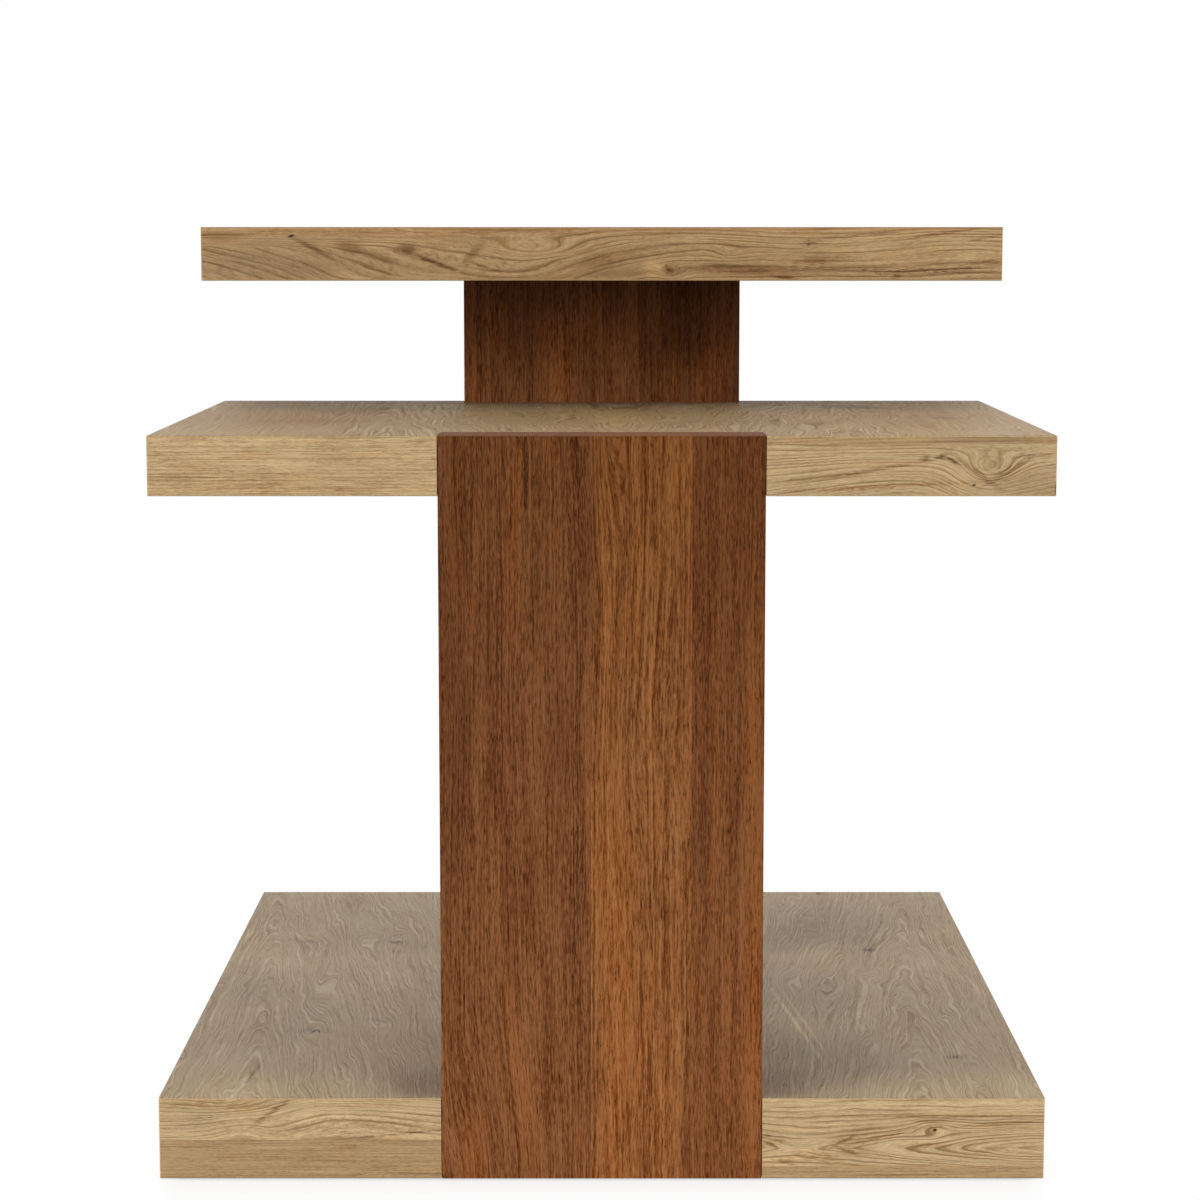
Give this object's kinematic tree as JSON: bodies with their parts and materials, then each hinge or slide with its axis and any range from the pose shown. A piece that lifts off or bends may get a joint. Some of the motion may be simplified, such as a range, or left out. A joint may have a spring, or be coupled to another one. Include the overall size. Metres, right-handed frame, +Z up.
{
  "type": "occasional table",
  "caption": "Stepped side table: thick oak base, front shelf and rear top, interlocked with flat dark columns.",
  "frame": {"origin": "on the floor, under the middle of the base (centre of the bounding box's bottom face)", "axes": "+Z up, +X to the right seen from the front, +Y from the front to the back; the front faces -Y"},
  "size_m": [0.57, 0.6, 0.611],
  "materials": {
    "oak_face": "matt oil, natural oak veneer",
    "oak_edge": "matt oil, solid oak",
    "core_board": "raw board, hidden",
    "dark_oak": "dark stain, satin",
    "black_steel": "matt powder coat",
    "beech": "raw",
    "felt": "pressed felt",
    "zinc_steel": "zinc plated"
  },
  "bodies": {
    "root": {"base_back_lipping": "oak_edge", "base_bottom_veneer": "oak_face", "base_core_lower": "core_board", "base_core_upper": "core_board", "base_dowels": "beech", "base_front_left_strip_lower": "oak_edge", "base_front_left_strip_upper": "oak_edge", "base_front_right_strip_lower": "oak_edge", "base_front_right_strip_upper": "oak_edge", "base_left_lipping": "oak_edge", "base_right_lipping": "oak_edge", "base_top_veneer": "oak_face", "column_top_plate": "black_steel", "floor_pads": "felt", "front_column_stave_centre": "dark_oak", "front_column_stave_left": "dark_oak", "front_column_stave_right": "dark_oak", "plate_column_screws": "zinc_steel", "plate_slab_screws": "zinc_steel", "rear_column_stave_centre": "dark_oak", "rear_column_stave_left": "dark_oak", "rear_column_stave_right": "dark_oak", "rear_foot_screws": "zinc_steel", "shelf_back_lipping": "oak_edge", "shelf_bottom_veneer": "oak_face", "shelf_core_lower": "core_board", "shelf_core_upper": "core_board", "shelf_dowels": "beech", "shelf_front_left_lipping": "oak_edge", "shelf_front_right_strip_lower": "oak_edge", "shelf_front_right_strip_upper": "oak_edge", "shelf_left_lipping": "oak_edge", "shelf_right_lipping": "oak_edge", "shelf_top_veneer": "oak_face", "top_back_lipping": "oak_edge", "top_bottom_veneer": "oak_face", "top_core_lower": "core_board", "top_core_upper": "core_board", "top_face_veneer": "oak_face", "top_front_lipping": "oak_edge", "top_left_lipping": "oak_edge", "top_right_lipping": "oak_edge"}
  },
  "joints": []
}
